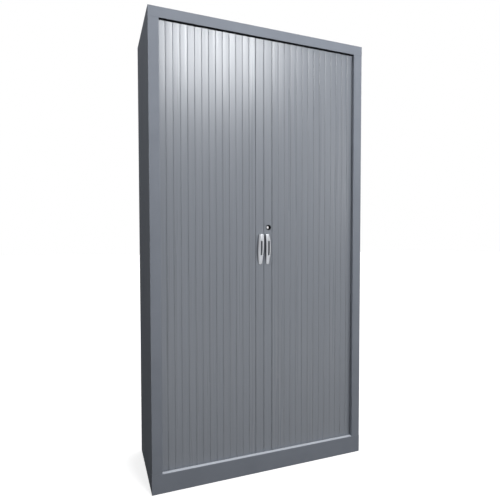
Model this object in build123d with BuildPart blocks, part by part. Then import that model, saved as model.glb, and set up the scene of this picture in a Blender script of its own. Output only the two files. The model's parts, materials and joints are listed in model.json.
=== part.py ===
from build123d import *
from math import ceil
import os

# Overall size of the cupboard: width along X, depth along Y, height along Z.
# The origin is the middle of the footprint on the floor. The front faces -Y.
width = 1000.0
depth = 420.0
height = 1980.0

# Steel sheet, its folds and the gaps between folded pieces
sheet = 1.0
fold_radius = 0.5
flange = 15.0
seam = 0.5

# Front frame
stile_width = 43.0
stile_return = 15.0
lintel_height = 43.0
plinth_height = 83.5
plinth_foot = 20.0
recess = 19.0
floor_gap = 2.0

# Tracks that the slats run in
track_width = 8.4
track_height = 12.0
track_groove = 6.0
track_floor = 1.5
track_cover = 2.0
track_back_gap = 2.0
corner_radius = 32.0
stop_length = 6.0
stop_play = 0.2

# Side liners with slots for the shelf clips
liner_inset = 45.0
liner_setback = 3.0
liner_lip = 8.0
slot_width = 14.0
slot_height = 3.5
slot_pitch = 121.0
first_slot = 130.0
slot_top_margin = 60.0
slot_front_inset = 90.0
slot_back_inset = 50.0

# Shelves and their clips
shelf_count = 4
shelf_setback = 50.0
shelf_back_gap = 1.0
shelf_edge = 25.0
shelf_return = 12.0
shelf_chamfer = 1.5
clip_width = 12.0
clip_sheet = 1.5
clip_ledge = 12.0
clip_rise = 20.0
clip_tab = 4.0
clip_hook = 10.0

# Levelling feet and the tabs that carry them
foot_inset_x = 25.0
foot_inset_y = 40.0
foot_pad_radius = 16.0
foot_pad_height = 8.0
foot_pad_sides = 16
foot_hex = 17.0
foot_stud_radius = 5.0
foot_stud_rise = 30.0
foot_tab_z = 20.0
foot_tab_size = 46.0
foot_hole_play = 0.3

# Slats of the tambour curtain
slat_pitch = 30.0
slat_depth = 8.0
slat_skin = 2.2
slat_groove = 3.0
slat_edge = 0.6
slat_end_gap = 0.6
curtain_overlap = 2.0
tongue_width = 12.0
tongue_depth = 5.0
tongue_reach = 9.0
tongue_root = 12.0

# Bead and socket that hinge each slat to the next
bead_radius = 1.6
bead_play = 0.4
bead_setback = 5.0
socket_wall = 1.2
neck_width = 1.2
hinge_sides = 6

# Leading slats, which meet in the middle
lead_width = 40.0
lead_depth = 14.0
lead_wall = 2.0
lead_meeting_gap = 0.4
lead_corner = 1.5
lead_cap = 3.0

# Bow handles on the leading slats: distances from the middle of the cupboard, height of the
# widest place, reach above and below it, and how far the crest stands off the slats
handle_inner_top = 6.5
handle_inner = 9.0
handle_inner_bottom = 10.0
handle_outer_top = 21.0
handle_outer = 30.5
handle_outer_bottom = 21.0
handle_middle = 1012.0
handle_reach_up = 66.0
handle_reach_down = 71.0
handle_corner = 3.0
handle_rise = 18.5
handle_top_rise = 13.0
handle_tail_rise = 4.0
handle_edge = 2.0
handle_draft = 4.0
handle_draft_drop = 12.0
handle_slot_x = 17.5
handle_slot_width = 7.5
handle_slot_up = 35.0
handle_slot_down = 30.0
handle_slot_floor = 3.0
handle_screw_x = 15.5
handle_screw_drop = 15.0
handle_screw_rise = 25.0

# Pan head screws. Screws, studs and their holes are drawn with this many sides.
small_sides = 8
screw_radius = 2.0
screw_head_radius = 3.75
screw_head_height = 2.0
screw_head_chamfer = 0.7
screw_bite = 6.0
screw_play = 0.15
screw_seat_play = 0.05

# Cam lock in the right leading slat
lock_x = 22.0
lock_above_handle = 30.0
lock_flange_radius = 11.5
lock_flange_height = 3.0
lock_body_radius = 8.5
lock_body_play = 0.1
lock_body_tail = 4.5
lock_nut_size = 22.0
lock_nut_height = 4.0
barrel_radius = 6.0
barrel_head_radius = 7.0
barrel_head_depth = 2.5
barrel_sink = 8.0
barrel_tail = 0.5
barrel_play = 0.05
keyway_width = 1.6
keyway_length = 8.0
keyway_depth = 4.0
hook_sheet = 2.5
hook_width = 10.0
hook_boss_radius = 7.5
hook_overlap = 8.0
hook_nose = 5.0
hook_nose_drop = 8.0
spigot_size = 6.0
spigot_play = 0.05
cam_screw_radius = 1.5
cam_screw_head = 4.0
cam_screw_bite = 8.0

# Keeper on the left leading slat
keeper_sheet = 2.0
keeper_width = 22.0
keeper_height = 50.0
keeper_edge_gap = 2.0
keeper_tooth = 3.0
keeper_tooth_height = 12.0
keeper_tooth_past = 1.5
keeper_play = 2.0
keeper_screw_inset = 6.0

# Countersunk screws that hold the tracks
track_screw_radius = 1.5
track_screw_head_radius = 2.7
track_screw_length = 7.0
track_screw_x = 300.0

# Faces that several pieces share
half_width = width / 2
side_inner = half_width - sheet
front = -depth / 2
front_inner = front + sheet
back = depth / 2
back_inner = back - 2 * sheet
top_inner = height - sheet
opening_edge = half_width - stile_width
ledge_z = plinth_height
head_z = height - lintel_height
curtain_y = front + recess

# Tracks: the front run, the corner at each side and the run back along the side
track_y = curtain_y + slat_depth / 2
track_front = track_y - track_width / 2
track_rear = track_y + track_width / 2
liner_face = half_width - liner_inset
liner_front = track_rear + liner_setback
side_track_x = liner_face + corner_radius
track_end_y = back_inner - track_back_gap
base_strip_z = ledge_z - track_height
head_strip_z = head_z + track_height

# Slats
slat_bottom = ledge_z + slat_end_gap
slat_length = head_z - ledge_z - 2 * slat_end_gap
curtain_edge = opening_edge + curtain_overlap
slat_count = ceil((curtain_edge - lead_width) / slat_pitch)
lead_rear = curtain_y + lead_depth

# Shelves
slot_front_y = liner_front + slot_front_inset
slot_back_y = back_inner - slot_back_inset
slot_rows = int((head_z - ledge_z - first_slot - slot_top_margin) / slot_pitch) + 1
slots_per_bay = round(slot_rows / (shelf_count + 1))
shelf_front = front + shelf_setback
shelf_back = back_inner - shelf_back_gap
shelf_half = liner_face - clip_sheet

# Levels of the handles and of the lock
handle_top = handle_middle + handle_reach_up
handle_bottom = handle_middle - handle_reach_down
handle_slot_top = handle_middle + handle_slot_up
handle_slot_bottom = handle_middle - handle_slot_down
lock_z = handle_top + lock_above_handle

# Places of the screws that hold the tracks
track_screw_places = [(x, track_y) for x in (-track_screw_x, track_screw_x)]
track_screw_places += [(x, 0) for x in (-side_track_x, side_track_x)]
base_groove_z = base_strip_z + track_floor
head_groove_z = head_strip_z - track_floor

bend = sheet + fold_radius
wall_front = front_inner + fold_radius

os.makedirs("parts", exist_ok=True)


def save(part, name):
    part.label = name
    export_step(part, f"parts/{name}.step")


def folded(*points):
    """Section of a folded sheet that lies to the right of the path through the points."""
    with BuildSketch() as section:
        with BuildLine():
            FilletPolyline(*points, radius=bend)
            offset(amount=sheet, side=Side.RIGHT)
        make_face()
    return section.sketch


def folded_sharp(*points):
    """The same section for hidden sheets, whose folds are drawn without their small radii."""
    with BuildSketch() as section:
        with BuildLine():
            Polyline(*points)
            offset(amount=sheet, side=Side.RIGHT, kind=Kind.INTERSECTION)
        make_face()
    return section.sketch


def hinge_bead():
    """Bead of the slat hinge with the neck that joins it to the slat on its left."""
    with BuildSketch() as section:
        RegularPolygon(bead_radius, hinge_sides)
        with BuildLine():
            root = slat_groove / 2
            drop = bead_setback - slat_skin / 2
            Polyline(
                (-root - neck_width, -drop),
                (-root, -drop),
                (neck_width / 2, 0),
                (-neck_width / 2, 0),
                close=True,
            )
        make_face()
    return section.sketch


def hinge_socket():
    """Open socket round a bead, with the web that joins it to the slat on its right."""
    inner = bead_radius + bead_play
    outer = inner + socket_wall
    with BuildSketch() as section:
        RegularPolygon(outer, hinge_sides)
        with Locations((0, -bead_setback + slat_skin / 2)):
            Rectangle(outer + slat_groove / 2, bead_setback, align=(Align.MIN, Align.MIN))
        RegularPolygon(inner, hinge_sides, mode=Mode.SUBTRACT)
        with BuildLine():
            Polyline(
                (0, 0),
                (-2 * outer, outer / 2),
                (-2 * outer, -2 * outer),
                (slat_groove / 2, -2 * outer),
                (slat_groove / 2, -inner),
                close=True,
            )
        make_face(mode=Mode.SUBTRACT)
    return section.sketch


def slat_tongues(*middles):
    """Guide tongues at both ends of a slat. The lower ones stand on the floor of the track."""
    slat_top = slat_bottom + slat_length
    runs = (
        (base_groove_z, slat_bottom + tongue_root),
        (slat_top - tongue_root, slat_top + tongue_reach),
    )
    with BuildPart() as tongues:
        for low, high in runs:
            with BuildSketch(Plane.XY.offset(low)):
                with Locations(*[(middle, track_y) for middle in middles]):
                    Rectangle(tongue_width, tongue_depth)
            extrude(amount=high - low)
    return tongues.part


def track_screws(level, into, shank_radius):
    """Countersunk screws whose heads are flush with level. into is -1 for down and 1 for up."""
    cone = track_screw_head_radius - track_screw_radius
    with BuildPart() as screws:
        for x, y in track_screw_places:
            face = Plane((x, y, level), x_dir=(1, 0, 0), z_dir=(0, 0, into))
            with BuildSketch(face):
                RegularPolygon(track_screw_head_radius, small_sides, major_radius=False)
            extrude(amount=cone, taper=45)
            with BuildSketch(face):
                RegularPolygon(shank_radius, small_sides, major_radius=False)
            extrude(amount=track_screw_length)
    return screws.part


base_screw_holes = track_screws(base_groove_z, -1, track_screw_radius + screw_seat_play)
head_screw_holes = track_screws(head_groove_z, 1, track_screw_radius + screw_seat_play)

# Side panels: outer wall, stile with its return, rear return, top flange and foot tabs
with BuildPart() as right_side_panel:
    with BuildSketch(Plane.XY.offset(floor_gap)):
        with BuildLine():
            FilletPolyline(
                (half_width, wall_front),
                (half_width, back),
                (side_inner - flange, back),
                radius=bend,
            )
            offset(amount=sheet, side=Side.LEFT)
        make_face()
    extrude(amount=top_inner - floor_gap)
    with BuildSketch(Plane.XY.offset(ledge_z + seam)):
        with BuildLine():
            FilletPolyline(
                (opening_edge, front + stile_return),
                (opening_edge, front),
                (half_width, front),
                (half_width, front + stile_width),
                radius=bend,
            )
            offset(amount=sheet, side=Side.LEFT)
        make_face()
    extrude(amount=head_z - ledge_z - 2 * seam)
    with BuildSketch(Plane.XY.offset(top_inner - sheet)):
        with Locations((side_inner, wall_front)):
            Rectangle(flange, back - bend - wall_front, align=(Align.MAX, Align.MIN))
    extrude(amount=sheet)
    with BuildSketch(Plane.XY.offset(foot_tab_z)):
        for foot_y in (front + foot_inset_y, back - foot_inset_y):
            with Locations((side_inner, foot_y)):
                Rectangle(foot_tab_size, foot_tab_size, align=(Align.MAX, Align.CENTER))
            with Locations((half_width - foot_inset_x, foot_y)):
                hole_radius = foot_stud_radius + foot_hole_play
                RegularPolygon(
                    hole_radius, small_sides, major_radius=False, mode=Mode.SUBTRACT
                )
    extrude(amount=sheet)
save(right_side_panel.part, "right_side_panel")

with BuildPart() as left_side_panel:
    mirror(right_side_panel.part, about=Plane.YZ)
save(left_side_panel.part, "left_side_panel")

# Back panel, inside the rear returns of the sides, folded forward at top and bottom
with BuildPart() as back_panel:
    back_half = side_inner - fold_radius
    with BuildSketch(Plane.YZ.offset(-back_half)):
        add(
            folded_sharp(
                (back_inner - flange, top_inner - sheet),
                (back_inner + sheet, top_inner - sheet),
                (back_inner + sheet, floor_gap),
                (back_inner - flange, floor_gap),
            )
        )
    extrude(amount=2 * back_half)
save(back_panel.part, "back_panel")

# Top panel, folded down at the front as the lintel and at the back between the sides
with BuildPart() as top_panel:
    with BuildSketch(Plane.YZ.offset(-half_width)):
        add(folded((front, head_z), (front, height), (back, height), (back, height - flange)))
    extrude(amount=width)
    with BuildSketch(Plane.XZ.offset(-back)):
        with Locations((half_width, top_inner), (-half_width, top_inner)):
            Rectangle(2 * (sheet + flange + seam), 2 * flange, align=(Align.CENTER, Align.MAX))
    extrude(amount=2 * sheet, mode=Mode.SUBTRACT)
save(top_panel.part, "top_panel")

# Plinth: front rail with its foot, the bright ledge and the lip in front of the track
with BuildPart() as plinth:
    with BuildSketch(Plane.YZ.offset(-half_width)):
        add(
            folded(
                (front + plinth_foot, floor_gap),
                (front, floor_gap),
                (front, ledge_z),
                (track_front, ledge_z),
                (track_front, base_strip_z),
            )
        )
    extrude(amount=width)
    with BuildSketch(Plane.XY.offset(floor_gap)):
        with Locations((side_inner, front_inner), (-side_inner, front_inner)):
            Rectangle(2 * sheet, 2 * plinth_foot, align=(Align.CENTER, Align.MIN))
    extrude(amount=plinth_height, mode=Mode.SUBTRACT)
save(plinth.part, "plinth")

# Base panel: strip under the front track, riser, floor of the cupboard and rear flange
with BuildPart() as base_panel:
    with BuildSketch(Plane.YZ.offset(-side_inner)):
        add(
            folded_sharp(
                (front_inner, base_strip_z - flange),
                (front_inner, base_strip_z),
                (track_rear, base_strip_z),
                (track_rear, ledge_z),
                (back_inner, ledge_z),
                (back_inner, ledge_z - flange),
            )
        )
    extrude(amount=2 * side_inner)
    with BuildSketch(Plane.XY.offset(base_strip_z - 2 * flange)):
        with Locations((side_inner, track_rear - bend), (-side_inner, track_rear - bend)):
            Rectangle(2 * (side_inner - liner_face), depth, align=(Align.CENTER, Align.MIN))
    extrude(amount=3 * flange, mode=Mode.SUBTRACT)
    add(base_screw_holes, mode=Mode.SUBTRACT)
save(base_panel.part, "base_panel")

# Ceiling panel: the same folds turned over, above the shelf space
with BuildPart() as ceiling_panel:
    with BuildSketch(Plane.YZ.offset(-side_inner)):
        add(
            folded_sharp(
                (back_inner, head_z + flange),
                (back_inner, head_z),
                (track_rear, head_z),
                (track_rear, head_strip_z),
                (front_inner, head_strip_z),
                (front_inner, head_strip_z + flange),
            )
        )
    extrude(amount=2 * side_inner)
    with BuildSketch(Plane.XY.offset(head_z - flange)):
        with Locations((side_inner, track_rear - bend), (-side_inner, track_rear - bend)):
            Rectangle(2 * (side_inner - liner_face), depth, align=(Align.CENTER, Align.MIN))
    extrude(amount=3 * flange, mode=Mode.SUBTRACT)
    add(head_screw_holes, mode=Mode.SUBTRACT)
save(ceiling_panel.part, "ceiling_panel")

# Side liners: inner walls of the pockets that take the opened curtain, with clip slots
with BuildPart() as right_liner:
    with BuildSketch(Plane.XZ.offset(-back_inner)):
        add(
            folded_sharp(
                (side_inner, base_strip_z - sheet),
                (liner_face, base_strip_z - sheet),
                (liner_face, head_strip_z + sheet),
                (side_inner, head_strip_z + sheet),
            )
        )
    extrude(amount=back_inner - liner_front)
    with BuildSketch(Plane.XY.offset(ledge_z + flange)):
        with Locations((liner_face + sheet, liner_front)):
            Rectangle(liner_lip - sheet, sheet, align=(Align.MIN, Align.MIN))
    extrude(amount=head_z - ledge_z - 2 * flange)
    with BuildSketch(Plane.YZ.offset(liner_face)):
        middle_y = (slot_front_y + slot_back_y) / 2
        middle_z = ledge_z + first_slot + (slot_rows - 1) * slot_pitch / 2
        with Locations((middle_y, middle_z)):
            with GridLocations(slot_back_y - slot_front_y, slot_pitch, 2, slot_rows):
                Rectangle(slot_width, slot_height)
    extrude(amount=sheet, mode=Mode.SUBTRACT)
    add(base_screw_holes, mode=Mode.SUBTRACT)
    add(head_screw_holes, mode=Mode.SUBTRACT)
save(right_liner.part, "right_liner")

with BuildPart() as left_liner:
    mirror(right_liner.part, about=Plane.YZ)
save(left_liner.part, "left_liner")


def track_route(level):
    """Middle of a track at height level: along one side, the front and the other side."""
    with BuildLine(Plane.XY.offset(level)) as route:
        FilletPolyline(
            (-side_track_x, track_end_y),
            (-side_track_x, track_y),
            (side_track_x, track_y),
            (side_track_x, track_end_y),
            radius=corner_radius,
        )
    return route.wires()[0]


def track_channel(floor_z, up):
    """Grooved channel along the track route. Its floor is at floor_z and it opens towards up."""
    half = track_width / 2
    start = Plane((-side_track_x, track_end_y, floor_z), x_dir=(1, 0, 0), z_dir=(0, -1, 0))
    with BuildPart() as channel:
        with BuildSketch(start):
            with BuildLine():
                Polyline(
                    (-half, 0),
                    (half, 0),
                    (half, up * track_height),
                    (track_groove / 2, up * track_height),
                    (track_groove / 2, up * track_floor),
                    (-track_groove / 2, up * track_floor),
                    (-track_groove / 2, up * track_height),
                    (-half, up * track_height),
                    close=True,
                )
            make_face()
        sweep(path=track_route(floor_z))
    return channel.part


# Bottom track, with countersunk holes in its floor
with BuildPart() as bottom_track:
    add(track_channel(base_strip_z, 1))
    add(base_screw_holes, mode=Mode.SUBTRACT)
save(bottom_track.part, "bottom_track")

# Top track, with the cover strip that closes the gap behind the lintel
with BuildPart() as top_track:
    add(track_channel(head_strip_z, -1))
    with BuildSketch(Plane.XY.offset(head_z)):
        with Locations((0, front_inner)):
            Rectangle(2 * side_inner, track_front - front_inner, align=(Align.CENTER, Align.MIN))
    extrude(amount=track_cover)
    add(head_screw_holes, mode=Mode.SUBTRACT)
save(top_track.part, "top_track")

# Screws that hold the tracks to the base panel, the ceiling panel and the liners
with BuildPart() as track_screw_set:
    add(track_screws(base_groove_z, -1, track_screw_radius))
    add(track_screws(head_groove_z, 1, track_screw_radius))
save(track_screw_set.part, "track_screws")

# Rubber stops in the ends of the side tracks
with BuildPart() as track_stops:
    for stop_z, rise in ((base_groove_z, 1), (head_groove_z, -1)):
        with BuildSketch(Plane.XY.offset(stop_z)):
            with Locations((-side_track_x, track_end_y), (side_track_x, track_end_y)):
                Rectangle(track_groove, stop_length, align=(Align.CENTER, Align.MAX))
        extrude(amount=rise * (track_height - track_floor - stop_play))
save(track_stops.part, "track_stops")

# Shelves: pans with returned front and back edges
clip_drop = shelf_edge - clip_rise + clip_sheet - slot_height / 2
shelf_levels = [
    ledge_z + first_slot + (bay * slots_per_bay - 1) * slot_pitch + clip_drop
    for bay in range(1, shelf_count + 1)
]
for number, level in enumerate(shelf_levels, start=1):
    with BuildPart() as shelf:
        with BuildSketch(Plane.XY.offset(level - shelf_edge)):
            with Locations((0, (shelf_front + shelf_back) / 2)):
                Rectangle(2 * shelf_half, shelf_back - shelf_front)
        extrude(amount=shelf_edge)
        chamfer(shelf.edges().filter_by(Axis.X).group_by(Axis.Z)[-1], shelf_chamfer)
        offset(amount=-sheet, openings=shelf.faces().sort_by(Axis.Z)[0])
        with BuildSketch(Plane.XY.offset(level - shelf_edge)):
            with Locations((0, shelf_front)):
                Rectangle(2 * shelf_half, shelf_return, align=(Align.CENTER, Align.MIN))
            with Locations((0, shelf_back)):
                Rectangle(2 * shelf_half, shelf_return, align=(Align.CENTER, Align.MAX))
        extrude(amount=sheet)
    save(shelf.part, f"shelf_{number}")

# Bent strip clips, hooked through the liner slots under each shelf
with BuildPart() as shelf_clips:
    for level in shelf_levels:
        seat = level - shelf_edge
        for clip_y in (slot_front_y, slot_back_y):
            with BuildSketch(Plane.XZ.offset(-clip_y - clip_width / 2)):
                with BuildLine():
                    Polyline(
                        (liner_face - clip_ledge, seat),
                        (liner_face - clip_sheet, seat),
                        (liner_face - clip_sheet, seat + clip_rise),
                        (liner_face + clip_tab - clip_sheet, seat + clip_rise),
                        (liner_face + clip_tab - clip_sheet, seat + clip_rise + clip_hook),
                        (liner_face + clip_tab, seat + clip_rise + clip_hook),
                        (liner_face + clip_tab, seat + clip_rise - clip_sheet),
                        (liner_face, seat + clip_rise - clip_sheet),
                        (liner_face, seat - clip_sheet),
                        (liner_face - clip_ledge, seat - clip_sheet),
                        close=True,
                    )
                make_face()
            extrude(amount=clip_width)
    mirror(about=Plane.YZ)
save(shelf_clips.part, "shelf_clips")

# Levelling feet: pad, hexagon that bears on the tab, and stud through it
with BuildPart() as levelling_feet:
    foot_places = GridLocations(width - 2 * foot_inset_x, depth - 2 * foot_inset_y, 2, 2)
    with BuildSketch():
        with foot_places:
            RegularPolygon(foot_pad_radius, foot_pad_sides)
    extrude(amount=foot_pad_height)
    with BuildSketch(Plane.XY.offset(foot_pad_height)):
        with foot_places:
            RegularPolygon(foot_hex / 2, 6, major_radius=False)
    extrude(amount=foot_tab_z - foot_pad_height)
    with BuildSketch(Plane.XY.offset(foot_tab_z)):
        with foot_places:
            RegularPolygon(foot_stud_radius, small_sides, major_radius=False)
    extrude(amount=foot_stud_rise)
save(levelling_feet.part, "levelling_feet")

# Tambour slats: flat skin, hinge socket on the inner edge and hinge bead on the outer edge
for number in range(1, slat_count + 1):
    slat_start = lead_width + (number - 1) * slat_pitch
    with BuildPart() as right_slat:
        with BuildSketch(Plane((slat_start, curtain_y, slat_bottom))):
            with BuildLine():
                left_edge = slat_groove / 2
                right_edge = slat_pitch - slat_groove / 2
                Polyline(
                    (left_edge + slat_edge, 0),
                    (right_edge - slat_edge, 0),
                    (right_edge, slat_edge),
                    (right_edge, slat_skin),
                    (left_edge, slat_skin),
                    (left_edge, slat_edge),
                    close=True,
                )
            make_face()
            with Locations((0, bead_setback)):
                add(hinge_socket())
            with Locations((slat_pitch, bead_setback)):
                add(hinge_bead())
        extrude(amount=slat_length)
        add(slat_tongues(slat_start + slat_pitch / 2))
    save(right_slat.part, f"right_slat_{number:02d}")
    with BuildPart() as left_slat:
        mirror(right_slat.part, about=Plane.YZ)
    save(left_slat.part, f"left_slat_{number:02d}")


def screw_shanks(plane, places, radius, length):
    """Shanks or holes of one radius that start on a plane."""
    with BuildPart() as shanks:
        with BuildSketch(plane):
            with Locations(*places):
                RegularPolygon(radius, small_sides, major_radius=False)
        extrude(amount=length)
    return shanks.part


def pan_screws(seat_y, places, length):
    """Pan head screws with their heads on the plane y = seat_y, pointing to the front."""
    with BuildPart() as screws:
        add(screw_shanks(Plane.XZ.offset(-seat_y), places, screw_radius, length))
        with BuildSketch(Plane.XZ.offset(-seat_y)):
            with Locations(*places):
                RegularPolygon(screw_head_radius, small_sides, major_radius=False)
        extrude(amount=-screw_head_height)
        rims = screws.faces().sort_by(Axis.Y)[-len(places) :].edges()
        chamfer(rims, screw_head_chamfer)
    return screws.part


handle_screw_places = [
    (handle_screw_x, handle_top - handle_screw_drop),
    (handle_screw_x, handle_bottom + handle_screw_rise),
]

# Leading slat: hollow box with closed ends, a skin flange and the bead for the first slat
with BuildPart() as right_leading_slat:
    lead_start = Plane((0, curtain_y, slat_bottom))
    lead_skin_edge = lead_width - slat_groove / 2
    lead_box_edge = lead_width - bead_radius - bead_play - socket_wall - neck_width
    with BuildSketch(lead_start) as lead_outline:
        with Locations((lead_meeting_gap, 0)):
            Rectangle(lead_box_edge - lead_meeting_gap, lead_depth, align=(Align.MIN, Align.MIN))
            Rectangle(lead_skin_edge - lead_meeting_gap, slat_skin, align=(Align.MIN, Align.MIN))
        chamfer(lead_outline.vertices().group_by(Axis.Y)[0], lead_corner)
        with Locations((lead_width, bead_setback)):
            add(hinge_bead())
    extrude(amount=slat_length)
    with BuildSketch(lead_start.offset(lead_cap)):
        with Locations((lead_meeting_gap + lead_wall, lead_wall)):
            Rectangle(
                lead_box_edge - lead_meeting_gap - 2 * lead_wall,
                lead_depth - 2 * lead_wall,
                align=(Align.MIN, Align.MIN),
            )
    extrude(amount=slat_length - 2 * lead_cap, mode=Mode.SUBTRACT)
    add(slat_tongues(lead_width / 4, lead_width * 3 / 4))
    add(
        screw_shanks(
            Plane.XZ.offset(-lead_rear), handle_screw_places, screw_radius + screw_play, lead_depth
        ),
        mode=Mode.SUBTRACT,
    )

# The left leading slat is its mirror image, with holes for the keeper instead of the lock
keeper_middle_x = -keeper_edge_gap - keeper_width / 2
keeper_screw_x = -keeper_edge_gap - keeper_width + keeper_screw_inset
keeper_screw_drop = keeper_height / 2 - keeper_screw_inset
keeper_screw_places = [(keeper_screw_x, lock_z + side * keeper_screw_drop) for side in (-1, 1)]
with BuildPart() as left_leading_slat:
    mirror(right_leading_slat.part, about=Plane.YZ)
    add(
        screw_shanks(
            Plane.XZ.offset(-lead_rear),
            keeper_screw_places,
            screw_radius + screw_seat_play,
            lead_wall,
        ),
        mode=Mode.SUBTRACT,
    )
save(left_leading_slat.part, "left_leading_slat")

with BuildPart() as right_leading_slat_bored:
    add(right_leading_slat.part)
    with BuildSketch(Plane.XZ.offset(-lead_rear)):
        with Locations((lock_x, lock_z)):
            Circle(lock_body_radius + lock_body_play)
    extrude(amount=lead_depth, mode=Mode.SUBTRACT)
save(right_leading_slat_bored.part, "right_leading_slat")

# Bow handles: bowed sides, a crest that swells in the middle, a drafted outer flank and a
# finger slot between two rails
with BuildPart() as right_handle:
    with BuildSketch(Plane.XZ.offset(-curtain_y)) as handle_outline:
        with BuildLine():
            ThreePointArc(
                (handle_inner_top, handle_top),
                (handle_inner, handle_middle),
                (handle_inner_bottom, handle_bottom),
            )
            Line((handle_inner_bottom, handle_bottom), (handle_outer_bottom, handle_bottom))
            ThreePointArc(
                (handle_outer_bottom, handle_bottom),
                (handle_outer, handle_middle),
                (handle_outer_top, handle_top),
            )
            Line((handle_outer_top, handle_top), (handle_inner_top, handle_top))
        make_face()
        chamfer(handle_outline.vertices(), handle_corner)
    extrude(amount=2 * handle_rise)
    with BuildSketch(Plane.YZ):
        with BuildLine():
            Polyline(
                (curtain_y - handle_tail_rise, handle_bottom),
                (curtain_y, handle_bottom),
                (curtain_y, handle_top),
                (curtain_y - handle_top_rise, handle_top),
            )
            ThreePointArc(
                (curtain_y - handle_top_rise, handle_top),
                (curtain_y - handle_rise, handle_middle),
                (curtain_y - handle_tail_rise, handle_bottom),
            )
        make_face()
    extrude(amount=half_width, mode=Mode.INTERSECT)
    crest = right_handle.faces().sort_by(Axis.Y)[0]
    outer_edge = crest.edges().sort_by(Axis.X)[-1]
    chamfer(outer_edge, handle_draft, handle_draft_drop, reference=crest)
    crest = right_handle.faces().sort_by(Axis.Y)[0]
    chamfer(crest.edges().sort_by(Axis.X)[:-1], handle_edge)
    with BuildSketch(Plane.XZ.offset(handle_slot_floor - curtain_y)):
        with Locations((handle_slot_x, (handle_slot_bottom + handle_slot_top) / 2)):
            SlotOverall(handle_slot_top - handle_slot_bottom, handle_slot_width, rotation=90)
    extrude(amount=half_width, mode=Mode.SUBTRACT)
    add(
        screw_shanks(
            Plane.XZ.offset(-curtain_y),
            handle_screw_places,
            screw_radius + screw_seat_play,
            screw_bite + screw_play,
        ),
        mode=Mode.SUBTRACT,
    )
save(right_handle.part, "right_handle")

with BuildPart() as left_handle:
    mirror(right_handle.part, about=Plane.YZ)
save(left_handle.part, "left_handle")

with BuildPart() as right_handle_screws:
    add(pan_screws(lead_rear, handle_screw_places, lead_depth + screw_bite))
save(right_handle_screws.part, "right_handle_screws")

with BuildPart() as left_handle_screws:
    mirror(right_handle_screws.part, about=Plane.YZ)
save(left_handle_screws.part, "left_handle_screws")

# Lock: depths are measured back from the face of the leading slat
lock_plane = Plane((lock_x, curtain_y, lock_z), x_dir=(0, 1, 0), z_dir=(1, 0, 0))
lock_axis = Axis((lock_x, curtain_y, lock_z), (0, 1, 0))
housing_tail = lead_depth + lock_body_tail
barrel_face = barrel_sink - lock_flange_height
barrel_step = barrel_face + barrel_head_depth
barrel_shoulder = housing_tail + barrel_tail

# Lock housing: flange on the slat and a body through it, with the barrel deep inside
with BuildPart() as lock_housing:
    with BuildSketch(lock_plane):
        with BuildLine():
            Polyline(
                (-lock_flange_height, barrel_head_radius + barrel_play),
                (-lock_flange_height, lock_flange_radius),
                (0, lock_flange_radius),
                (0, lock_body_radius),
                (housing_tail, lock_body_radius),
                (housing_tail, barrel_radius + barrel_play),
                (barrel_step, barrel_radius + barrel_play),
                (barrel_step, barrel_head_radius + barrel_play),
                close=True,
            )
        make_face()
    revolve(axis=lock_axis)
save(lock_housing.part, "lock_housing")

# Lock nut behind the leading slat
with BuildPart() as lock_nut:
    with BuildSketch(Plane.XZ.offset(-lead_rear)):
        with Locations((lock_x, lock_z)):
            RegularPolygon(lock_nut_size / 2, 6, major_radius=False)
            Circle(lock_body_radius + lock_body_play, mode=Mode.SUBTRACT)
    extrude(amount=-lock_nut_height)
save(lock_nut.part, "lock_nut")

# Lock barrel: headed cylinder with a keyway in front and a square spigot behind
with BuildPart() as lock_barrel:
    with BuildSketch(lock_plane):
        with BuildLine():
            Polyline(
                (barrel_face, 0),
                (barrel_face, barrel_head_radius),
                (barrel_step, barrel_head_radius),
                (barrel_step, barrel_radius),
                (barrel_shoulder, barrel_radius),
                (barrel_shoulder, 0),
                close=True,
            )
        make_face()
    revolve(axis=lock_axis)
    with BuildSketch(Plane.XZ.offset(-curtain_y - barrel_shoulder)):
        with Locations((lock_x, lock_z)):
            Rectangle(spigot_size, spigot_size)
    extrude(amount=-hook_sheet)
    with BuildSketch(Plane.XZ.offset(-curtain_y - barrel_face)):
        with Locations((lock_x, lock_z)):
            Rectangle(keyway_width, keyway_length)
    extrude(amount=-keyway_depth, mode=Mode.SUBTRACT)
    add(
        screw_shanks(
            Plane.XZ.offset(-curtain_y - barrel_shoulder - hook_sheet),
            [(lock_x, lock_z)],
            cam_screw_radius + screw_seat_play,
            hook_sheet + cam_screw_bite,
        ),
        mode=Mode.SUBTRACT,
    )
save(lock_barrel.part, "lock_barrel")

# Lock hook, standing up while unlocked. It swings a quarter turn to reach the keeper.
hook_reach = lock_x + hook_overlap
with BuildPart() as lock_hook:
    with BuildSketch(Plane.XZ.offset(-curtain_y - barrel_shoulder)):
        with Locations((lock_x, lock_z)):
            RegularPolygon(hook_boss_radius, small_sides, major_radius=False)
            Rectangle(hook_width, hook_reach + hook_nose, align=(Align.CENTER, Align.MIN))
        with Locations((lock_x + hook_width / 2, lock_z + hook_reach)):
            Rectangle(hook_width + hook_nose_drop, hook_nose, align=(Align.MAX, Align.MIN))
        with Locations((lock_x, lock_z)):
            Rectangle(
                spigot_size + 2 * spigot_play, spigot_size + 2 * spigot_play, mode=Mode.SUBTRACT
            )
    extrude(amount=-hook_sheet)
save(lock_hook.part, "lock_hook")

with BuildPart() as lock_hook_screw:
    with BuildSketch(Plane.XZ.offset(-curtain_y - barrel_shoulder - hook_sheet)):
        with Locations((lock_x, lock_z)):
            RegularPolygon(cam_screw_head, small_sides, major_radius=False)
    extrude(amount=-screw_head_height)
    add(
        screw_shanks(
            Plane.XZ.offset(-curtain_y - barrel_shoulder - hook_sheet),
            [(lock_x, lock_z)],
            cam_screw_radius,
            hook_sheet + cam_screw_bite - screw_play,
        )
    )
save(lock_hook_screw.part, "lock_hook_screw")

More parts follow.
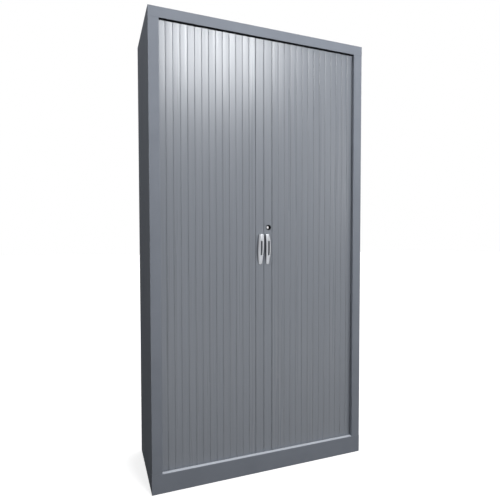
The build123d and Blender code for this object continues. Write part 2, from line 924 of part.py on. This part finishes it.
# Keeper: plate on the left leading slat with the tooth that the hook drops behind
with BuildPart() as keeper:
    with BuildSketch(Plane.XZ.offset(-lead_rear)):
        with Locations((keeper_middle_x, lock_z)):
            Rectangle(keeper_width, keeper_height)
        with Locations(*keeper_screw_places):
            hole_radius = screw_radius + screw_play
            RegularPolygon(hole_radius, small_sides, major_radius=False, mode=Mode.SUBTRACT)
    extrude(amount=-keeper_sheet)
    with BuildSketch(Plane.XZ.offset(-lead_rear - keeper_sheet)):
        with Locations((keeper_play - hook_overlap, lock_z - hook_width / 2 - keeper_play)):
            Rectangle(keeper_tooth, keeper_tooth_height, align=(Align.MIN, Align.MAX))
    tooth_rear = barrel_shoulder + hook_sheet + keeper_tooth_past
    extrude(amount=lead_depth + keeper_sheet - tooth_rear)
save(keeper.part, "keeper")

with BuildPart() as keeper_screws:
    add(
        pan_screws(
            lead_rear + keeper_sheet, keeper_screw_places, keeper_sheet + lead_wall + screw_radius
        )
    )
save(keeper_screws.part, "keeper_screws")
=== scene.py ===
import json
import math
import bmesh
import bpy
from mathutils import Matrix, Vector


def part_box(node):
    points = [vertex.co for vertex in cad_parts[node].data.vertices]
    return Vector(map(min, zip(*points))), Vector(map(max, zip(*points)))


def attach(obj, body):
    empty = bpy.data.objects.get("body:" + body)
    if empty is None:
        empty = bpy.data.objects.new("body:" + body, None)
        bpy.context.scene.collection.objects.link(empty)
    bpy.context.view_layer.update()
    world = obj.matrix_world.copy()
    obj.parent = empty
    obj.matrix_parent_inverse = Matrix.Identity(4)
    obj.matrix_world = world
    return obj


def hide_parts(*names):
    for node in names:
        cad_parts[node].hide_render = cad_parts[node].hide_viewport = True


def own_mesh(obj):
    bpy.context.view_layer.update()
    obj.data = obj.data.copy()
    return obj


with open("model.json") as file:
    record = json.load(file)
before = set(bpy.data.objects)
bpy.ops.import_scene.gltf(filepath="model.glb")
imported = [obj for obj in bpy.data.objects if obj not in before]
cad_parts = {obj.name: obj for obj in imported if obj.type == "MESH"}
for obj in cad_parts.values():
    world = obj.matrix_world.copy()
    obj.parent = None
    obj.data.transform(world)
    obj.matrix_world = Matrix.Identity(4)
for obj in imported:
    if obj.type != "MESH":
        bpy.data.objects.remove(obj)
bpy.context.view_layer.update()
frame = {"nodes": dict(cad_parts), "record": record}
nodes = frame["nodes"]
scene = bpy.context.scene
scene.view_settings.view_transform = "Standard"

MM = 0.001
SIGN = {"left": -1, "right": 1}

# Colours are linear
PAINT = (0.258, 0.278, 0.318)
SLAT_PAINT = (0.218, 0.235, 0.266)
BLACK = (0.004, 0.004, 0.005)
ZINC = (0.52, 0.53, 0.52)
CHROME = (0.82, 0.83, 0.85)
SATIN_CHROME = (0.35, 0.36, 0.38)
# Pale tone of the ledge strip: painted light falling on the ledge from above
PAINTED_LEDGE_LIGHT = (0.70, 0.73, 0.79)
FLOOR = (0.8, 0.8, 0.8)
FLOOR_BOUNCE = (0.1, 0.1, 0.1)
KEY_TINT = (0.97, 0.985, 1.0)

# Most of the noise lies between these two values
NOISE_RANGE = (0.3, 0.7)


# Materials

def new_material(name):
    material = bpy.data.materials.new(name)
    material.use_nodes = True
    tree = material.node_tree
    return material, tree, tree.nodes["Principled BSDF"]


def place_noise(tree, scale, detail, stretch=(1, 1, 1)):
    """Noise in the object's own metres. A small stretch along an axis draws it out that way."""
    place = tree.nodes.new("ShaderNodeTexCoord")
    mapping = tree.nodes.new("ShaderNodeMapping")
    mapping.inputs["Scale"].default_value = stretch
    noise = tree.nodes.new("ShaderNodeTexNoise")
    noise.inputs["Scale"].default_value = scale
    noise.inputs["Detail"].default_value = detail
    tree.links.new(place.outputs["Object"], mapping.inputs["Vector"])
    tree.links.new(mapping.outputs["Vector"], noise.inputs["Vector"])
    return noise.outputs["Fac"]


def map_range(tree, value, source, target, interpolation="LINEAR"):
    """Number that goes through the target range as the value goes through the source range."""
    node = tree.nodes.new("ShaderNodeMapRange")
    node.interpolation_type = interpolation
    for end, number in zip(("From Min", "From Max", "To Min", "To Max"), (*source, *target)):
        node.inputs[end].default_value = number
    tree.links.new(value, node.inputs["Value"])
    return node.outputs["Result"]


def shade(colour, factor):
    return tuple(channel * factor for channel in colour)


def tint(tree, shader, noise, colour, dark, light):
    """Base colour that wanders with the noise between two shares of the colour."""
    node = tree.nodes.new("ShaderNodeValToRGB")
    for element, place, share in zip(node.color_ramp.elements, NOISE_RANGE, (dark, light)):
        element.position = place
        element.color = (*shade(colour, share), 1)
    tree.links.new(noise, node.inputs["Fac"])
    tree.links.new(node.outputs["Color"], shader.inputs["Base Color"])


def roughen(tree, shader, noise, low, high):
    tree.links.new(map_range(tree, noise, NOISE_RANGE, (low, high)), shader.inputs["Roughness"])


def bump(tree, shader, height, distance, strength):
    node = tree.nodes.new("ShaderNodeBump")
    node.inputs["Distance"].default_value = distance
    node.inputs["Strength"].default_value = strength
    tree.links.new(height, node.inputs["Height"])
    tree.links.new(node.outputs["Normal"], shader.inputs["Normal"])


def powder_coat(name, colour, roughness, gloss):
    """Baked powder coat: faint clouds in the colour and the fine dimples of the cured film."""
    material, tree, shader = new_material(name)
    clouds = place_noise(tree, 9, 5)
    dimples = place_noise(tree, 900, 2)
    tint(tree, shader, clouds, colour, 0.96, 1.04)
    roughen(tree, shader, clouds, roughness - 0.04, roughness + 0.05)
    shader.inputs["Specular IOR Level"].default_value = gloss
    bump(tree, shader, dimples, 0.08 * MM, 0.5)
    return material


def extruded_plastic(name, colour, roughness):
    """Semi-gloss extruded plastic: fine lines drawn out along Z in colour, gloss and height."""
    material, tree, shader = new_material(name)
    lines = place_noise(tree, 700, 3, (1, 1, 0.004))
    wide = place_noise(tree, 40, 2, (1, 1, 0.02))
    tint(tree, shader, lines, colour, 0.93, 1.07)
    roughen(tree, shader, wide, roughness - 0.04, roughness + 0.06)
    shader.inputs["Specular IOR Level"].default_value = 0.5
    bump(tree, shader, lines, 0.04 * MM, 0.5)
    return material


def metal(name, colour, roughness):
    """Bare or plated metal with fine marks."""
    material, tree, shader = new_material(name)
    marks = place_noise(tree, 500, 3)
    shader.inputs["Metallic"].default_value = 1.0
    tint(tree, shader, marks, colour, 0.92, 1.05)
    roughen(tree, shader, marks, roughness - 0.03, roughness + 0.06)
    bump(tree, shader, marks, 0.02 * MM, 0.4)
    return material


def black_moulding(name, colour, roughness, grain, gloss):
    """Black plastic or rubber with a fine moulded grain."""
    material, tree, shader = new_material(name)
    speckle = place_noise(tree, grain, 4)
    tint(tree, shader, speckle, colour, 0.7, 1.5)
    roughen(tree, shader, speckle, roughness - 0.05, roughness + 0.08)
    shader.inputs["Specular IOR Level"].default_value = gloss
    bump(tree, shader, speckle, 0.05 * MM, 0.5)
    return material


def painted_ledge_light_plastic():
    """Pale plastic whose pale tone is painted light falling on the ledge from above, with
    lengthwise rub marks.
    """
    material, tree, shader = new_material("painted_ledge_light_plastic")
    rubs = place_noise(tree, 500, 3, (0.01, 1, 1))
    tint(tree, shader, rubs, PAINTED_LEDGE_LIGHT, 0.9, 1.05)
    roughen(tree, shader, rubs, 0.4, 0.6)
    shader.inputs["Specular IOR Level"].default_value = 0.3
    bump(tree, shader, rubs, 0.02 * MM, 0.4)
    return material


slot_materials = {
    "casing": powder_coat("casing_paint", PAINT, 0.6, 0.001),
    "inner_panels": powder_coat("inner_paint", PAINT, 0.55, 0.1),
    "shelf_steel": powder_coat("shelf_paint", shade(PAINT, 1.03), 0.55, 0.1),
    # Tracks: black plastic; the top track's black underside below the lintel is also painted shade
    # of that recess
    "tracks": black_moulding("track_plastic_and_painted_shade", BLACK, 0.6, 600, 0.1),
    "slats": extruded_plastic("slat_plastic", SLAT_PAINT, 0.30),
    "leading_slats": extruded_plastic("leading_slat_plastic", SLAT_PAINT, 0.32),
    "handles": metal("handle_plating", SATIN_CHROME, 0.34),
    "lock_ring": black_moulding("lock_ring_gloss", shade(BLACK, 0.5), 0.4, 900, 0.03),
    "lock_metal": metal("lock_plating", CHROME, 0.14),
    "lock_inner": metal("lock_zinc", ZINC, 0.34),
    "clips": metal("clip_zinc", ZINC, 0.32),
    "fasteners": metal("screw_zinc", ZINC, 0.30),
    "feet": black_moulding("foot_plastic", shade(BLACK, 3), 0.55, 500, 0.3),
    "stops": black_moulding("stop_rubber", shade(BLACK, 2), 0.75, 900, 0.2),
}
for subpart in frame["record"]["subparts"]:
    shown = nodes[subpart["node"]]
    shown.data.materials.clear()
    shown.data.materials.append(slot_materials[subpart["material_slot"]])


# Building blocks of the pieces

def add_piece(name, builder, material, body, crease):
    """Object from a bmesh, shaded smooth but for edges sharper than the crease in degrees."""
    for face in builder.faces:
        face.smooth = True
    bmesh.ops.recalc_face_normals(builder, faces=builder.faces)
    mesh = bpy.data.meshes.new(name)
    builder.to_mesh(mesh)
    builder.free()
    mesh.set_sharp_from_angle(angle=math.radians(crease))
    mesh.materials.append(material)
    piece = bpy.data.objects.new(name, mesh)
    scene.collection.objects.link(piece)
    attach(piece, body)
    return piece


def bridge(builder, ring, other):
    """Closed band of faces between two rings with the same count of vertices."""
    for i in range(len(ring)):
        following = (i + 1) % len(ring)
        builder.faces.new((ring[i], ring[following], other[following], other[i]))


def loft(builder, loops):
    """Closed solid through loops of points, with a flat face over the first and the last."""
    rings = [[builder.verts.new(point) for point in loop] for loop in loops]
    for ring, other in zip(rings, rings[1:]):
        bridge(builder, ring, other)
    builder.faces.new(rings[0][::-1])
    builder.faces.new(rings[-1])


def prism(builder, outline, low, high):
    """Closed upright prism on an outline of (x, y) points."""
    loft(builder, [[(x, y, z) for x, y in outline] for z in (low, high)])


def lathe(builder, profile, centre, steps):
    """Closed solid of revolution about the Y axis through centre, from (radius, y) points."""
    rings = []
    for i in range(steps):
        angle = 2 * math.pi * i / steps
        across, up = math.cos(angle), math.sin(angle)
        rings.append([
            builder.verts.new((centre[0] + r * across, y, centre[1] + r * up)) for r, y in profile
        ])
    for i, ring in enumerate(rings):
        bridge(builder, ring, rings[(i + 1) % steps])


def arc(centre, radius, start, end, steps):
    """Points on an arc, with angles in degrees from the first axis towards the second."""
    points = []
    for i in range(steps + 1):
        angle = math.radians(start + (end - start) * i / steps)
        points.append((centre[0] + radius * math.cos(angle), centre[1] + radius * math.sin(angle)))
    return points


def ease(t):
    """Smooth step from 0 to 1."""
    return t * t * (3 - 2 * t)


slat_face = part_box("right_handle")[1][1]


# Slats: a thin crowned skin with a hinge socket on its inner edge and a bead on its outer edge
SLATS = 14
CURTAIN_START = 40 * MM
SLAT_PITCH = 30 * MM
SLAT_GAP = 0.6 * MM
SLAT_SKIN = 2.2 * MM
SLAT_CROWN = 0.12 * MM
CROWN_STEPS = 8
SLAT_ROUND = 2.2 * MM
SLAT_ROUND_DEPTH = 0.6 * MM
SLAT_ROUND_SWEEP = 82
SLAT_LOW = 84.1 * MM
SLAT_HIGH = 1936.4 * MM
BEAD = 1.6 * MM
BEAD_SWEEP = (-130, 175)
BEAD_ROOT = 2.4 * MM
BEAD_SETBACK = 5 * MM
SOCKET = 2.0 * MM
SOCKET_WALL = 1.2 * MM
SOCKET_ROOT = 1.2 * MM
SOCKET_LIP = 165
SOCKET_ENDS = (10, -30)
TONGUE_WIDTH = 12 * MM
TONGUE_DEPTH = 5 * MM
TONGUE_SETBACK = 4 * MM
TONGUE_ROOT = 12 * MM

# Each slat hangs a little differently, so that its sheen differs from its neighbours'
SLAT_TILT = 0.012
TILT_TURN = 2.4
TILT_PHASE = {"left": 4.2, "right": 0.2}


def slat_outline(left, front, tilt):
    """Section of a slat whose hinge axes are at left and one pitch further."""
    edge_l = left + SLAT_GAP / 2
    edge_r = left + SLAT_PITCH - SLAT_GAP / 2
    middle = (edge_l + edge_r) / 2
    half = (edge_r - edge_l) / 2 - SLAT_ROUND
    back = front + SLAT_SKIN
    hinge_y = front + BEAD_SETBACK
    fall = SLAT_ROUND_DEPTH / SLAT_ROUND
    shoulder = front + SLAT_CROWN + SLAT_ROUND_DEPTH

    points = []
    for x, y in arc((0, 0), SLAT_ROUND, 180, 180 + SLAT_ROUND_SWEEP, 6):
        points.append((edge_l + SLAT_ROUND + x, shoulder - tilt * half + y * fall))
    for i in range(CROWN_STEPS + 1):
        s = 2 * i / CROWN_STEPS - 1
        points.append((middle + half * s, front + SLAT_CROWN * s * s + tilt * half * s))
    for x, y in arc((0, 0), SLAT_ROUND, 360 - SLAT_ROUND_SWEEP, 360, 6):
        points.append((edge_r - SLAT_ROUND + x, shoulder + tilt * half + y * fall))
    points += arc((left + SLAT_PITCH, hinge_y), BEAD, *BEAD_SWEEP, 16)
    points.append((edge_r - BEAD_ROOT, back))
    outer = SOCKET + SOCKET_WALL
    points.append((edge_l + outer + SOCKET_ROOT, back))
    points += arc((left, hinge_y), outer, SOCKET_ENDS[0], SOCKET_LIP, 10)
    points += arc((left, hinge_y), SOCKET, SOCKET_LIP, SOCKET_ENDS[1], 12)
    points.append((edge_l + SOCKET_ROOT, back))
    return points


def slat_piece(side, number):
    """Slat with a crowned face that stands for the plain solid of its node."""
    node = f"{side}_slat_{number:02d}"
    low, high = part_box(node)
    left = CURTAIN_START + (number - 1) * SLAT_PITCH
    front = low[1]
    tilt = SLAT_TILT * math.sin(TILT_TURN * number + TILT_PHASE[side])
    centre = left + SLAT_PITCH / 2
    tongue = [
        (centre + across * TONGUE_WIDTH / 2, front + TONGUE_SETBACK + along * TONGUE_DEPTH / 2)
        for across, along in ((-1, -1), (1, -1), (1, 1), (-1, 1))
    ]
    sign = SIGN[side]
    outline = [(sign * x, y) for x, y in slat_outline(left, front, tilt)]
    tongue = [(sign * x, y) for x, y in tongue]
    builder = bmesh.new()
    prism(builder, outline, SLAT_LOW, SLAT_HIGH)
    prism(builder, tongue, low[2], SLAT_LOW + TONGUE_ROOT)
    prism(builder, tongue, SLAT_HIGH - TONGUE_ROOT, high[2])
    piece = add_piece(f"{node}_skin", builder, slot_materials["slats"], node, 50)
    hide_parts(node)
    if number > 1:
        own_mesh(piece)


for number in range(1, SLATS + 1):
    slat_piece("right", number)
    slat_piece("left", number)


# Bow handles. Every size below is in millimetres from the middle of the cupboard or the floor,
# and every set of three holds for the bottom, the widest place and the top.
HANDLE_LEVELS = (941, 1012, 1078)
HANDLE_INNER = (9.5, 5, 3.6)
HANDLE_OUTER = (24, 32, 24.6)
HANDLE_CREST = (3.5, 18, 14)
HANDLE_PLAN_ROUND = 4
HANDLE_INNER_ROUND = 4
HANDLE_FLANK = 6.5
HANDLE_FLANK_SHARE = 0.6
HANDLE_FLANK_SLOPE = 0.9
HANDLE_TOP_ROUND = 3
HANDLE_TAIL_FALL = 0.6
HANDLE_TAIL_REACH = 9
HANDLE_THINNEST = 0.4
HANDLE_DOME = 0.7
HANDLE_PLATE = 3.5
HANDLE_UNDERCUT = 0.3
HANDLE_HALF = 13
HANDLE_EDGE = 0.1
HANDLE_SLOT_X = 17.5
HANDLE_SLOT_HALF = 3.75
HANDLE_SLOT = (982, 1047)
HANDLE_SLOT_FLOOR = 3
HANDLE_LIP = 1.3
HANDLE_WALL = 0.8
HANDLE_FADE = (3, 9)


def through(z, values):
    """Parabola through three values at the levels of the handle."""
    total = 0
    for i, value in enumerate(values):
        weight = 1
        for j, level in enumerate(HANDLE_LEVELS):
            if j != i:
                weight *= (z - level) / (HANDLE_LEVELS[i] - level)
        total += value * weight
    return total


def round_off(distance, reach):
    """Share of a quarter round that is missing at this distance from its edge."""
    if distance >= reach:
        return 0
    t = 1 - max(distance, 0) / reach
    return 1 - math.sqrt(1 - t * t)


def handle_height(x, z, inner, outer):
    """How far the surface of the handle stands off the slat."""
    crest = through(z, HANDLE_CREST)
    low, high = HANDLE_LEVELS[0], HANDLE_LEVELS[2]
    middle = (inner + outer) / 2
    height = crest - HANDLE_DOME * ((x - middle) / (outer - middle)) ** 2
    height -= HANDLE_INNER_ROUND * round_off(x - inner, HANDLE_INNER_ROUND)
    flank = max(min(HANDLE_FLANK, HANDLE_FLANK_SHARE * crest) - (outer - x), 0)
    height -= HANDLE_FLANK_SLOPE * flank * (1 + flank / HANDLE_FLANK) / 2
    height -= HANDLE_TOP_ROUND * round_off(high - z, HANDLE_TOP_ROUND)
    height -= HANDLE_TAIL_FALL * crest * round_off(z - low, HANDLE_TAIL_REACH)
    height = max(height, HANDLE_THINNEST)
    spine_z = min(max(z, HANDLE_SLOT[0] + HANDLE_SLOT_HALF), HANDLE_SLOT[1] - HANDLE_SLOT_HALF)
    inside = HANDLE_SLOT_HALF - math.hypot(x - HANDLE_SLOT_X, z - spine_z)
    if inside > 0:
        lip = height - HANDLE_LIP
        return lip + (HANDLE_SLOT_FLOOR - lip) * ease(min(inside / HANDLE_WALL, 1))
    return height - HANDLE_LIP * round_off(-inside, HANDLE_LIP)


def spread(spans):
    """Stops along joined spans, each given as its start, end and number of steps."""
    stops = [spans[0][0]]
    for start, end, steps in spans:
        stops += [start + (end - start) * (i + 1) / steps for i in range(steps)]
    return stops


def handle_rows():
    """Levels of the rows, closer together at both ends of the finger slot."""
    low, high = HANDLE_SLOT
    return spread([
        (HANDLE_LEVELS[0], low - HANDLE_LIP, 50),
        (low - HANDLE_LIP, low + HANDLE_SLOT_HALF, 20),
        (low + HANDLE_SLOT_HALF, high - HANDLE_SLOT_HALF, 72),
        (high - HANDLE_SLOT_HALF, high + HANDLE_LIP, 20),
        (high + HANDLE_LIP, HANDLE_LEVELS[2], 38),
    ])


def handle_columns(z, inner, outer):
    """Places across a row that keep to the walls of the slot and are even away from it."""
    left, right = HANDLE_SLOT_X - HANDLE_SLOT_HALF, HANDLE_SLOT_X + HANDLE_SLOT_HALF
    fitted = spread([
        (inner, left - HANDLE_LIP, 9), (left - HANDLE_LIP, left, 4),
        (left, left + HANDLE_WALL, 3), (left + HANDLE_WALL, right - HANDLE_WALL, 14),
        (right - HANDLE_WALL, right, 3), (right, right + HANDLE_LIP, 4),
        (right + HANDLE_LIP, outer, 11),
    ])
    even = spread([(inner, outer, len(fitted) - 1)])
    beyond = max(HANDLE_SLOT[0] - z, z - HANDLE_SLOT[1], 0)
    t = ease(min(max(beyond - HANDLE_FADE[0], 0) / HANDLE_FADE[1], 1))
    return [x + (even_x - x) * t for x, even_x in zip(fitted, even)]


def handle_piece(side):
    """Handle with rounded rails and cap that stands for the faceted solid of its node."""
    sign = SIGN[side]
    face_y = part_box(f"{side}_handle")[1][1]
    low, high = HANDLE_LEVELS[0], HANDLE_LEVELS[2]
    builder = bmesh.new()
    grid = []
    for z in handle_rows():
        pull = HANDLE_PLAN_ROUND * round_off(min(z - low, high - z), HANDLE_PLAN_ROUND)
        inner = through(z, HANDLE_INNER) + pull
        outer = through(z, HANDLE_OUTER) - pull
        row = []
        for x in handle_columns(z, inner, outer):
            height = handle_height(x, z, inner, outer)
            row.append(builder.verts.new((sign * x * MM, face_y - height * MM, z * MM)))
        grid.append(row)
    for row, above in zip(grid, grid[1:]):
        for j in range(len(row) - 1):
            builder.faces.new((row[j], row[j + 1], above[j + 1], above[j]))

    # Below the rim the side drops by the thickness of the plate and then runs in underneath
    rim = grid[0] + [row[-1] for row in grid[1:]]
    rim += grid[-1][-2::-1] + [row[0] for row in grid[-2:0:-1]]
    spine_x = sign * HANDLE_SLOT_X * MM
    under = []
    foot = []
    for v in rim:
        stand_off = max(face_y - v.co.y - HANDLE_PLATE * MM, HANDLE_EDGE * MM)
        inward = HANDLE_UNDERCUT * stand_off * (spine_x - v.co.x) / (HANDLE_HALF * MM)
        under.append(builder.verts.new((v.co.x, face_y - stand_off, v.co.z)))
        foot.append(builder.verts.new((v.co.x + inward, face_y, v.co.z)))
    bridge(builder, rim, under)
    bridge(builder, under, foot)
    builder.faces.new(foot)
    piece = add_piece(
        f"{side}_bow_handle", builder, slot_materials["handles"], f"{side}_leading", 50
    )
    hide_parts(f"{side}_handle")


handle_piece("right")
handle_piece("left")


# Lock. Depths are behind the face of the leading slat.
RING_ROUND = 0.8 * MM
RING_BODY = 8.5 * MM
MOUTH_RADIUS = 10.4 * MM
MOUTH_DEPTH = 4.5 * MM
BORE_RADIUS = 7.05 * MM
BORE_DEPTH = 7.5 * MM
SHANK_HOLE = 6.05 * MM
PLUG_RADIUS = 5.95 * MM
PLUG_DEPTH = 9.5 * MM
PLUG_BEVEL = 0.3 * MM
PLUG_BEVEL_SHARE = 0.95
PLUG_STEPS = 48
KEYWAY = (0.8 * MM, 4 * MM)
KEYWAY_DEPTH = 3.5 * MM
TINY = 1e-6


def axis_of(node):
    """Place in x and z of the axis of a round node that lies along Y."""
    low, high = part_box(node)
    return (low[0] + high[0]) / 2, (low[2] + high[2]) / 2


def lock_ring():
    """Black ring with a rounded rim and a bevelled mouth round the deep barrel."""
    low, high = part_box("lock_housing")
    radius = (high[0] - low[0]) / 2
    profile = [(RING_BODY, high[1]), (RING_BODY, slat_face), (radius, slat_face)]
    profile += arc((radius - RING_ROUND, low[1] + RING_ROUND), RING_ROUND, 0, -90, 7)
    profile += [(MOUTH_RADIUS, low[1]), (BORE_RADIUS, slat_face + MOUTH_DEPTH)]
    profile += [(BORE_RADIUS, slat_face + BORE_DEPTH), (SHANK_HOLE, slat_face + BORE_DEPTH)]
    profile += [(SHANK_HOLE, high[1])]
    builder = bmesh.new()
    lathe(builder, profile, axis_of("lock_housing"), 64)
    piece = add_piece("lock_ring", builder, slot_materials["lock_ring"], "right_leading", 40)
    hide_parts("lock_housing")


def lock_plug():
    """Barrel face deep in the ring, with its keyway, on the shank that carries the hook."""
    centre_x, centre_z = axis_of("lock_barrel")
    rear_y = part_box("lock_barrel")[1][1]
    face_y = slat_face + PLUG_DEPTH
    circle = arc((0, 0), 1, 0, 360, PLUG_STEPS)[:-1]
    keyway = []
    for across, up in circle:
        grow = min(KEYWAY[0] / max(abs(across), TINY), KEYWAY[1] / max(abs(up), TINY))
        keyway.append((across * grow, up * grow))
    edge = [(x * PLUG_RADIUS, z * PLUG_RADIUS) for x, z in circle]
    bevel = [(x * PLUG_BEVEL_SHARE, z * PLUG_BEVEL_SHARE) for x, z in edge]
    loops = [(edge, rear_y), (edge, face_y + PLUG_BEVEL), (bevel, face_y)]
    loops += [(keyway, face_y), (keyway, face_y + KEYWAY_DEPTH)]
    builder = bmesh.new()
    loft(builder, [[(centre_x + x, y, centre_z + z) for x, z in loop] for loop, y in loops])
    piece = add_piece("lock_plug", builder, slot_materials["lock_metal"], "lock", 40)
    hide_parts("lock_barrel")


lock_ring()
lock_plug()


# Strip let into the ledge of the plinth, in front of the slats; its pale colour is painted light
# falling on the ledge from above
STRIP_HEIGHT = 0.35 * MM
STRIP_REAR = 0.3 * MM
STRIP_FRONT = 1.2 * MM
STRIP_END = 457 * MM
STRIP_CHAMFER = 0.2 * MM


def painted_light_strip():
    low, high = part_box("plinth")
    ledge = high[2]
    front = low[1] + STRIP_FRONT
    rear = slat_face - STRIP_REAR
    section = [
        (front, ledge), (front + STRIP_CHAMFER, ledge + STRIP_HEIGHT),
        (rear - STRIP_CHAMFER, ledge + STRIP_HEIGHT), (rear, ledge),
    ]
    builder = bmesh.new()
    loft(builder, [[(x, y, z) for y, z in section] for x in (-STRIP_END, STRIP_END)])
    piece = add_piece("painted_light_strip", builder, painted_ledge_light_plastic(), "carcass", 35)


painted_light_strip()


# World: a dim dome that brightens upwards and a soft lobe of light from behind on the right.
# The camera, gloss and glass see plain white instead.
WORLD_HIGH = 0.08
WORLD_REAR = 1.6
WORLD_REAR_SIDE = (0.75, 0.62, 0.22)
WORLD_REAR_EDGE = 0.35
WHITE = (1, 1, 1, 1)


def combine(tree, operation, first, second):
    node = tree.nodes.new("ShaderNodeMath")
    node.operation = operation
    tree.links.new(first, node.inputs[0])
    tree.links.new(second, node.inputs[1])
    return node.outputs[0]


def camera_share(tree):
    """1 for rays that the camera sees straight or through gloss and glass, else 0."""
    path = tree.nodes.new("ShaderNodeLightPath")
    total = path.outputs["Is Camera Ray"]
    for name in ("Is Glossy Ray", "Is Transmission Ray"):
        total = combine(tree, "MAXIMUM", total, path.outputs[name])
    return total


def build_world():
    world = bpy.data.worlds.new("studio")
    scene.world = world
    world.use_nodes = True
    tree = world.node_tree
    background = tree.nodes["Background"]
    background.inputs["Color"].default_value = WHITE
    place = tree.nodes.new("ShaderNodeTexCoord")
    split = tree.nodes.new("ShaderNodeSeparateXYZ")
    tree.links.new(place.outputs["Generated"], split.inputs[0])
    dome = map_range(tree, split.outputs["Z"], (0, 1), (0, WORLD_HIGH))
    rear = tree.nodes.new("ShaderNodeVectorMath")
    rear.operation = "DOT_PRODUCT"
    rear.inputs[1].default_value = WORLD_REAR_SIDE
    tree.links.new(place.outputs["Generated"], rear.inputs[0])
    lobe = map_range(tree, rear.outputs["Value"], (WORLD_REAR_EDGE, 1), (0, WORLD_REAR))
    mix = tree.nodes.new("ShaderNodeMix")
    tree.links.new(camera_share(tree), mix.inputs["Factor"])
    tree.links.new(combine(tree, "ADD", dome, lobe), mix.inputs["A"])
    mix.inputs["B"].default_value = 1.0
    tree.links.new(mix.outputs["Result"], background.inputs["Strength"])


build_world()


# Floor: pale to the camera and lifted to white with the distance, and dimmer to all other rays
REACH = 30
FLOOR_GLOW = 0.72
FLOOR_GLOW_NEAR = 1.2
FLOOR_GLOW_FAR = 3.0


def floor_paint():
    material, tree, shader = new_material("floor_paint")
    shader.inputs["Roughness"].default_value = 0.9
    shader.inputs["Specular IOR Level"].default_value = 0.1
    shader.inputs["Emission Color"].default_value = WHITE
    share = camera_share(tree)
    tone = tree.nodes.new("ShaderNodeMix")
    tone.data_type = "RGBA"
    tone.inputs["A"].default_value = (*FLOOR_BOUNCE, 1)
    tone.inputs["B"].default_value = (*FLOOR, 1)
    tree.links.new(share, tone.inputs["Factor"])
    tree.links.new(tone.outputs["Result"], shader.inputs["Base Color"])
    place = tree.nodes.new("ShaderNodeTexCoord")
    distance = tree.nodes.new("ShaderNodeVectorMath")
    distance.operation = "LENGTH"
    tree.links.new(place.outputs["Object"], distance.inputs[0])
    glow = map_range(
        tree, distance.outputs["Value"], (FLOOR_GLOW_NEAR, FLOOR_GLOW_FAR), (FLOOR_GLOW, 1),
        "SMOOTHSTEP",
    )
    lift = combine(tree, "MULTIPLY", share, glow)
    tree.links.new(lift, shader.inputs["Emission Strength"])
    return material


def build_floor():
    builder = bmesh.new()
    corners = ((-REACH, -REACH), (REACH, -REACH), (REACH, REACH), (-REACH, REACH))
    builder.faces.new([builder.verts.new((x, y, 0)) for x, y in corners])
    mesh = bpy.data.meshes.new("floor")
    builder.to_mesh(mesh)
    builder.free()
    floor = bpy.data.objects.new("floor", mesh)
    scene.collection.objects.link(floor)
    mesh.materials.append(floor_paint())


build_floor()


# Lights and camera

def area_light(name, place, target, size, power):
    data = bpy.data.lights.new(name, "AREA")
    data.shape = "RECTANGLE"
    data.size, data.size_y = size
    data.energy = power
    light = bpy.data.objects.new(name, data)
    light.location = place
    light.rotation_euler = (Vector(target) - Vector(place)).to_track_quat("-Z", "Y").to_euler()
    scene.collection.objects.link(light)
    return light


key = area_light("key", (0.47, -2.75, 3.1), (-0.1, -0.2, 1.3), (1.2, 0.8), 86)
key.data.color = KEY_TINT
area_light("right_fill", (2.8, -2.6, 1.8), (0, -0.2, 1.0), (1.4, 1.4), 18)
area_light("left_fill", (-2.6, -1.2, 3.4), (-0.5, 0, 1.8), (0.8, 0.8), 25)

# The key's shadow leaves out the lintel and the top track, so that the slats stay bright right
# up to them
no_shadow = bpy.data.collections.new("key_shadow_exceptions")
for name in ("top_panel", "top_track"):
    no_shadow.objects.link(nodes[name])
key.light_linking.blocker_collection = no_shadow
for member in no_shadow.collection_objects:
    member.light_linking.link_state = "EXCLUDE"

# The camera stands in front of the cupboard, to its left, at about chest height
CAMERA_PLACE = (-0.705, -1.983, 1.050)
CAMERA_YAW = math.radians(22.11)
CAMERA_PITCH = math.radians(-2.0)
CAMERA_LENS = 30.83
CAMERA_SHIFT = (-0.0372, 0.0104)

camera_data = bpy.data.cameras.new("camera")
camera_data.lens = CAMERA_LENS
camera_data.shift_x, camera_data.shift_y = CAMERA_SHIFT
camera = bpy.data.objects.new("camera", camera_data)
camera.location = CAMERA_PLACE
camera.rotation_euler = (math.pi / 2 + CAMERA_PITCH, 0, -CAMERA_YAW)
scene.collection.objects.link(camera)
scene.camera = camera
